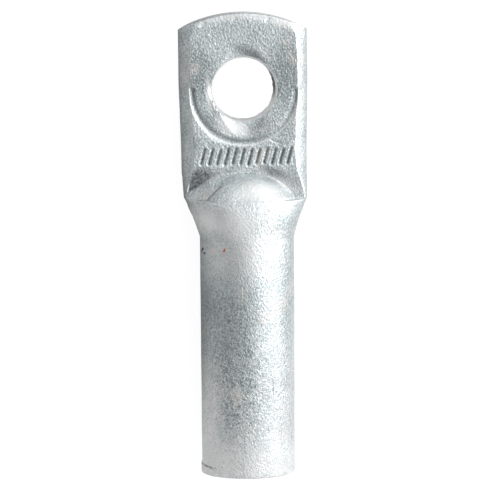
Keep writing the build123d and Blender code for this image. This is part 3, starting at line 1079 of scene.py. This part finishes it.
# Forged skin: bare aluminium, dulled and pitted in the tumbling drum, with dirt and painted shade in
# its hollows, painted shade and painted highlights in patches, a warm tarnish near the cable end and
# lighter scuffs on the barrel.
CLEAN = (0.8, 0.855, 0.87, 1)
DULL = (0.465, 0.53, 0.545, 1)
DUST_AND_SHADE_GREY = (0.26, 0.31, 0.32, 1)
WARM = (0.82, 0.76, 0.72, 1)
FROSTED = (0.86, 0.855, 0.84, 1)
DIRT_AND_SHADE_GREY = (0.12, 0.13, 0.145, 1)
SPECK = (0.3, 0.31, 0.31, 1)
# Fresh metal, for scuffs and nicks, and for painted highlights.
FRESH_AND_HIGHLIGHT = (0.9, 0.915, 0.92, 1)
RUST_RED = (0.75, 0.13, 0.03, 1)


def new_metal(name):
    material = bpy.data.materials.new(name)
    material.use_nodes = True
    tree = material.node_tree
    shader = tree.nodes["Principled BSDF"]
    shader.inputs["Metallic"].default_value = 1.0
    on_lug = add(tree, "ShaderNodeTexCoord").outputs["Object"]
    in_mm = add(tree, "ShaderNodeVectorMath", {"operation": "SCALE"}, i0=on_lug, Scale=1 / MM).outputs[0]
    lug_mesh.materials.append(material)
    return tree, shader, in_mm


def mixed(tree, share, first, second):
    made = add(tree, "ShaderNodeMix", {"data_type": "RGBA"}, i0=share, i6=first, i7=second)
    return made.outputs[2]


def use_group(tree, group, **sockets):
    return add(tree, "ShaderNodeGroup", {"node_tree": group}, **sockets).outputs


def marked(tree, name):
    return add(tree, "ShaderNodeAttribute", {"attribute_name": name}).outputs["Fac"]


def finish_metal(tree, shader, colour, roughness, height, relief):
    """Joins colour, roughness and a bump of this relief in millimetres to the shader."""
    bump = add(tree, "ShaderNodeBump", Strength=1.0, Distance=relief * MM, Height=height)
    tree.links.new(colour, shader.inputs["Base Color"])
    tree.links.new(roughness, shader.inputs["Roughness"])
    tree.links.new(bump.outputs["Normal"], shader.inputs["Normal"])


tree, shader, in_mm = new_metal("forged_skin")
grain = use_group(tree, grain_group, Place=in_mm, Size=0.3, Length=1.3)
scuffs = use_group(tree, scuff_group, Place=in_mm, Length=1.2, Width=0.11, Share=0.58)["Scuffs"]
position = add(tree, "ShaderNodeSeparateXYZ", Vector=in_mm).outputs
on_barrel = stretched(tree, position["Y"], -34.0, -50.0)
scuffed = maths(tree, "MULTIPLY", scuffs, maths(tree, "MULTIPLY_ADD", on_barrel, 0.75, 0.2))
# Dirt and painted shade, mottled, darken the colour where the mark is set.
dirt_and_shade_share = stretched(tree, cloud(tree, in_mm, 0.4, 3.0), 0.25, 0.6, 0.6, 1.0)
dirt_and_shade_share = maths(tree, "MULTIPLY", marked(tree, "soiled"), dirt_and_shade_share)
frost = stretched(tree, cloud(tree, in_mm, 1.6, 4.0), 0.3, 0.55, 0.55, 1.0)
frost = maths(tree, "MULTIPLY", marked(tree, "frosted"), frost)
tarnish = stretched(tree, cloud(tree, in_mm, 4.5, 5.0, 0.65, offset=(40, 3, 7)), 0.52, 0.72)
dulled = maths(tree, "MULTIPLY_ADD", grain["Mottle"], 1.1, -0.45)
dulled = maths(tree, "MULTIPLY_ADD", stretched(tree, grain["Patches"], 0.3, 0.68), 0.6, dulled)
dulled = maths(tree, "MULTIPLY_ADD", frost, -0.6, dulled)
colour = mixed(tree, maths(tree, "MAXIMUM", dulled, 0.0), CLEAN, DULL)
# Painted shade with some dullness, mottled, towards a dark grey.
mottled_share = maths(tree, "MULTIPLY_ADD", grain["Mottle"], 0.7, 0.35)
colour = mixed(tree, maths(tree, "MULTIPLY", mottled_share, marked(tree, "dulled")), colour, DUST_AND_SHADE_GREY)
colour = mixed(tree, maths(tree, "MULTIPLY", tarnish, 0.6), colour, WARM)
colour = mixed(tree, maths(tree, "MULTIPLY", frost, 0.75), colour, FROSTED)
colour = mixed(tree, maths(tree, "MULTIPLY", grain["Specks"], 0.75), colour, SPECK)
colour = mixed(tree, dirt_and_shade_share, colour, DIRT_AND_SHADE_GREY)
colour = mixed(tree, maths(tree, "MULTIPLY", scuffed, 0.8), colour, FRESH_AND_HIGHLIGHT)
# Painted highlights with some wear, towards fresh metal.
colour = mixed(tree, marked(tree, "rubbed"), colour, FRESH_AND_HIGHLIGHT)
roughness = maths(tree, "MULTIPLY_ADD", grain["Patches"], 0.2, 0.2)
roughness = maths(tree, "MULTIPLY_ADD", frost, 0.3, roughness)
tree.links.new(maths(tree, "MULTIPLY_ADD", frost, -0.7, 1.0), shader.inputs["Metallic"])
roughness = maths(tree, "MULTIPLY_ADD", dirt_and_shade_share, 0.25, roughness)
smoothed = maths(tree, "MULTIPLY_ADD", marked(tree, "rubbed"), -0.7, 1.0)
height = maths(tree, "MULTIPLY", grain["Height"], smoothed)
height = maths(tree, "MULTIPLY_ADD", scuffed, -0.25, height)
STRUCK_MARKS = (  # middle, turn in degrees, half length and width, depth, colour
    ((-3.85, -26.3), 72, 0.4, 0.17, 0.2, RUST_RED),
    ((-7.3, -26.6), 60, 0.4, 0.2, 0.5, DIRT_AND_SHADE_GREY),
    ((-7.05, -27.2), 20, 0.36, 0.16, 0.5, DIRT_AND_SHADE_GREY),
    ((-7.45, -27.1), 100, 0.3, 0.14, 0.4, SPECK),
    ((-7.15, -26.9), 0, 0.13, 0.1, -0.3, FRESH_AND_HIGHLIGHT),
    ((4.02, -49.6), 91, 1.9, 0.06, 0.3, SPECK),
    ((0.55, -52.4), 90, 1.7, 0.05, 0.3, SPECK),
    ((-5.9, -43.0), 88, 2.4, 0.05, 0.2, DULL),
    ((-4.2, -37.5), 92, 1.8, 0.05, 0.2, DULL),
    ((-4.3, -45.6), 160, 0.9, 0.07, -0.2, FRESH_AND_HIGHLIGHT),
    ((-1.9, -53.6), 175, 0.8, 0.08, -0.2, FRESH_AND_HIGHLIGHT),
    ((-2.6, -52.4), 70, 0.6, 0.08, -0.2, FRESH_AND_HIGHLIGHT),
    ((1.6, -46.6), 150, 0.9, 0.07, -0.2, FRESH_AND_HIGHLIGHT),
    ((-0.56, -59.47), 50, 0.6, 0.18, -0.3, FRESH_AND_HIGHLIGHT),
    ((6.31, -59.48), 65, 0.8, 0.12, -0.2, FRESH_AND_HIGHLIGHT),
)
for (x, y), turn, half_length, half_width_of_mark, depth, tint in STRUCK_MARKS:
    z = AXIS_Z + float(section_height(x - np.interp(y, shift_at, shift_by), np.array(y)))
    mark = use_group(
        tree,
        mark_group,
        Place=in_mm,
        Middle=(x, y, z),
        Turn=math.radians(-turn),
        Half_Length=half_length,
        Half_Width=half_width_of_mark,
    )["Mark"]
    colour = mixed(tree, mark, colour, tint)
    height = maths(tree, "MULTIPLY_ADD", mark, -depth, height)
SKIN_RELIEF = 0.11
finish_metal(tree, shader, colour, roughness, height, SKIN_RELIEF)

# Drilled bore and sawn end face: bare cut aluminium in two close greys, with the fine turning
# lines that the drill leaves along its wall.
CUT_LIGHT = (0.74, 0.76, 0.765, 1)
CUT_DARK = (0.5, 0.52, 0.53, 1)
BORE_RELIEF = 0.015
tree, shader, in_mm = new_metal("drilled_bore")
grain = use_group(tree, grain_group, Place=in_mm, Size=0.25, Length=0.4)
lines = {"Scale": 1.1, "Distortion": 1.2, "Detail": 2.0}
rings = add(tree, "ShaderNodeTexWave", {"bands_direction": "Y"}, Vector=in_mm, **lines)
height = maths(tree, "MULTIPLY_ADD", rings.outputs["Fac"], 0.7, grain["Height"])
colour = mixed(tree, stretched(tree, grain["Patches"], 0.3, 0.7), CUT_LIGHT, CUT_DARK)
roughness = maths(tree, "MULTIPLY_ADD", grain["Patches"], 0.25, 0.15)
finish_metal(tree, shader, colour, roughness, height, BORE_RELIEF)

# Sheared end and punched hole: bright and streaked where the blade cut, duller and grainy where
# the metal broke away below. The hole's wall is lighter, with a torn lip on one side that is darkened with
# painted shade.
SHEARED_BRIGHT = (0.9, 0.915, 0.92, 1)
SHEARED_STREAK = (0.66, 0.69, 0.7, 1)
BROKEN_AWAY = (0.7, 0.72, 0.73, 1)
PUNCHED_LIGHT = (0.97, 0.975, 0.98, 1)
TORN_AND_SHADE_DARK = (0.06, 0.065, 0.07, 1)
BREAK_LEVELS = (2.9, 1.9)  # the metal broke away between these heights
PUNCHED_REACH = (1.8, 1.0)  # what lies this near the hole's wall has its finish
SHEARED_RELIEF = 0.05
tree, shader, in_mm = new_metal("sheared_edge")
grain = use_group(tree, grain_group, Place=in_mm, Size=0.3, Length=1.0)
spread = vectors(tree, "MULTIPLY", in_mm, (1, 1, 0.06))
streaks = cloud(tree, spread, 0.16, 3.0, 0.6)
down = add(tree, "ShaderNodeSeparateXYZ", Vector=in_mm).outputs["Z"]
edge_wander = maths(tree, "MULTIPLY_ADD", cloud(tree, in_mm, 0.8, 4.0, 0.65), 1.8, down)
broken = stretched(tree, edge_wander, *BREAK_LEVELS)
in_plan = vectors(tree, "MULTIPLY", in_mm, (1, 1, 0))
from_axis = add(tree, "ShaderNodeVectorMath", {"operation": "LENGTH"}, i0=in_plan).outputs["Value"]
punched = stretched(tree, from_axis, *(HOLE_RADIUS + reach for reach in PUNCHED_REACH))
colour = mixed(tree, stretched(tree, streaks, 0.35, 0.65), SHEARED_BRIGHT, SHEARED_STREAK)
colour = mixed(tree, broken, colour, BROKEN_AWAY)
colour = mixed(tree, maths(tree, "MULTIPLY", punched, 0.8), colour, PUNCHED_LIGHT)
colour = mixed(tree, marked(tree, "torn"), colour, TORN_AND_SHADE_DARK)
tree.links.new(maths(tree, "MULTIPLY_ADD", punched, -0.65, 0.8), shader.inputs["Metallic"])
roughness = maths(tree, "MULTIPLY_ADD", broken, 0.2, 0.26)
roughness = maths(tree, "MULTIPLY_ADD", marked(tree, "torn"), 0.25, roughness)
height = maths(tree, "MULTIPLY_ADD", streaks, 0.5, maths(tree, "MULTIPLY", grain["Height"], broken))
finish_metal(tree, shader, colour, roughness, height, SHEARED_RELIEF)

# Floor: a seamless sweep of white paper. It looks white to the camera and keeps the lug's soft
# shadow. What the metal sees of it has painted light on the right and towards the cable end, and painted
# shadow on the left.
FLOOR_SIZE = 6.0
PAINTED_SHADE_PAPER = (0.42, 0.42, 0.42, 1)
PAINTED_LIGHT_PAPER = (0.8, 0.8, 0.8, 1)
PAINTED_LIGHT_FROM = (-14.0, 12.0)  # across the lug
PAINTED_LIGHT_BEHIND = (-48.0, -66.0)  # along it, towards the cable end
PAINTED_GLOW = 0.12
SEEN_PAPER = (0.3, 0.3, 0.3, 1)
SEEN_GLOW = 0.86
floor_mesh = bpy.data.meshes.new("floor")
half = FLOOR_SIZE / 2
floor_z = lug_low[2] * MM
floor_corners = [(x * half, y * half, floor_z) for x, y in ((-1, -1), (1, -1), (1, 1), (-1, 1))]
floor_mesh.from_pydata(floor_corners, [], [(0, 1, 2, 3)])
floor = bpy.data.objects.new("floor", floor_mesh)
bpy.context.scene.collection.objects.link(floor)
paper = bpy.data.materials.new("white_sweep")
paper.use_nodes = True
tree = paper.node_tree
tree.nodes.clear()
path = add(tree, "ShaderNodeLightPath").outputs
on_floor = add(tree, "ShaderNodeTexCoord").outputs["Object"]
position = add(tree, "ShaderNodeSeparateXYZ", Vector=on_floor).outputs
across_floor = maths(tree, "DIVIDE", position["X"], MM)
along_floor = maths(tree, "DIVIDE", position["Y"], MM)
# Painted light and painted shadow on the paper, for all rays but the camera's.
painted_light = stretched(tree, across_floor, *PAINTED_LIGHT_FROM)
painted_light = maths(tree, "MAXIMUM", painted_light, stretched(tree, along_floor, *PAINTED_LIGHT_BEHIND))
colour = mixed(tree, path["Is Camera Ray"], mixed(tree, painted_light, PAINTED_SHADE_PAPER, PAINTED_LIGHT_PAPER), SEEN_PAPER)
matt = add(tree, "ShaderNodeBsdfDiffuse", Color=colour).outputs[0]
# Painted glow, seen only in reflections, where the paper has painted light.
painted_glow_seen = maths(tree, "MULTIPLY", maths(tree, "MULTIPLY", path["Is Glossy Ray"], painted_light), PAINTED_GLOW)
strength = maths(tree, "MULTIPLY_ADD", path["Is Camera Ray"], SEEN_GLOW, painted_glow_seen)
glow = add(tree, "ShaderNodeEmission", Strength=strength).outputs[0]
both = add(tree, "ShaderNodeAddShader", i0=matt, i1=glow).outputs[0]
add(tree, "ShaderNodeOutputMaterial", Surface=both)
floor_mesh.materials.append(paper)

# Studio: a white tent, dim on the left and behind the cable end, bright on the right and past the
# tip, with one soft box on the right for the shadow.
TENT_ACROSS = (
    (-1.0, 0.5),
    (-0.9, 0.26),
    (-0.6, 0.2),
    (-0.4, 0.22),
    (-0.2, 0.4),
    (0.0, 0.58),
    (0.2, 0.76),
    (0.4, 1.0),
    (0.6, 1.18),
    (0.85, 1.25),
    (0.93, 1.05),
    (1.0, 0.7),
)
TENT_ALONG = ((-1.0, 0.0), (-0.1, 0.0), (0.1, 0.25), (0.3, 0.36), (1.0, 0.4))
TENT_TOP = 1.35
BEHIND_ACROSS = ((-1.0, 0.6), (-0.1, 0.6), (0.3, 0.74), (0.6, 0.95), (0.8, 1.1), (1.0, 1.1))
BEHIND_FROM = (-0.25, -0.45)
BOX_SIZE = 0.4
BOX_PLACE = (0.45, 0.1, 0.2)
BOX_AIM = (0, -0.02, 0)
BOX_POWER = 1.0
world = bpy.data.worlds.new("studio")
bpy.context.scene.world = world
world.use_nodes = True
tree = world.node_tree
tent = tree.nodes["Background"]
inside_tent = add(tree, "ShaderNodeTexCoord").outputs["Generated"]
parts = add(tree, "ShaderNodeSeparateXYZ", Vector=inside_tent).outputs


def tent_share(points, way):
    """Level of the tent's cloth along one direction."""
    ramp_of = add(tree, "ShaderNodeValToRGB", Fac=maths(tree, "MULTIPLY_ADD", way, 0.5, 0.5))
    stops = ramp_of.color_ramp
    while len(stops.elements) < len(points):
        stops.elements.new(0.5)
    for stop, (at, level) in zip(stops.elements, points):
        stop.position = 0.5 + at / 2
        stop.color = (0.5 + level / 4,) * 3 + (1,)
    return maths(tree, "MULTIPLY_ADD", ramp_of.outputs["Color"], 4.0, -2.0)


tent_level = maths(tree, "ADD", tent_share(TENT_ACROSS, parts["X"]), tent_share(TENT_ALONG, parts["Y"]))
tent_level = maths(tree, "MINIMUM", tent_level, TENT_TOP)
behind = stretched(tree, parts["Y"], *BEHIND_FROM)
behind_level = tent_share(BEHIND_ACROSS, parts["X"])
tent_level = add(tree, "ShaderNodeMix", i0=behind, i2=tent_level, i3=behind_level).outputs[0]
seen = add(tree, "ShaderNodeLightPath").outputs["Is Camera Ray"]
shown = add(tree, "ShaderNodeMix", i0=seen, i2=tent_level, i3=1.0).outputs[0]
tree.links.new(shown, tent.inputs["Strength"])
tent.inputs["Color"].default_value = (1, 1, 1, 1)
lamp = bpy.data.lights.new("right_box", "AREA")
lamp.shape = "RECTANGLE"
lamp.size = BOX_SIZE
lamp.size_y = BOX_SIZE
lamp.energy = BOX_POWER
right_box = bpy.data.objects.new("right_box", lamp)
right_box.location = BOX_PLACE
aim = Vector(BOX_AIM) - Vector(BOX_PLACE)
right_box.rotation_euler = aim.to_track_quat("-Z", "Y").to_euler()
bpy.context.scene.collection.objects.link(right_box)

# Camera: a long lens almost square onto the palm, leaning a little towards its tip and to the
# left. Its place was fitted to the lug's outline as the picture shows it.
CAMERA_TILT = 8.625
CAMERA_LEAN = 2.478
CAMERA_ROLL = -0.796
CAMERA_DISTANCE = 1.005
CAMERA_LENS = 430.17
CAMERA_AIM = (0.000747, -0.027265, AXIS_Z * MM)
tilt, lean, roll = (math.radians(a) for a in (CAMERA_TILT, CAMERA_LEAN, CAMERA_ROLL))
towards = Vector((-math.sin(lean), math.sin(tilt) * math.cos(lean), math.cos(tilt) * math.cos(lean)))
upward = (Vector((0, 1, 0)) - towards * towards.y).normalized()
sideways = upward.cross(towards)
turned_x = sideways * math.cos(roll) + upward * math.sin(roll)
turned_y = upward * math.cos(roll) - sideways * math.sin(roll)
camera_data = bpy.data.cameras.new("camera")
camera_data.lens = CAMERA_LENS
camera_data.sensor_width = 36.0
camera = bpy.data.objects.new("camera", camera_data)
camera.matrix_world = Matrix.Translation(Vector(CAMERA_AIM) + towards * CAMERA_DISTANCE) @ Matrix(
    (
        (turned_x.x, turned_y.x, towards.x, 0),
        (turned_x.y, turned_y.y, towards.y, 0),
        (turned_x.z, turned_y.z, towards.z, 0),
        (0, 0, 0, 1),
    )
)
bpy.context.scene.collection.objects.link(camera)
bpy.context.scene.camera = camera
bpy.context.scene.view_settings.view_transform = "Standard"
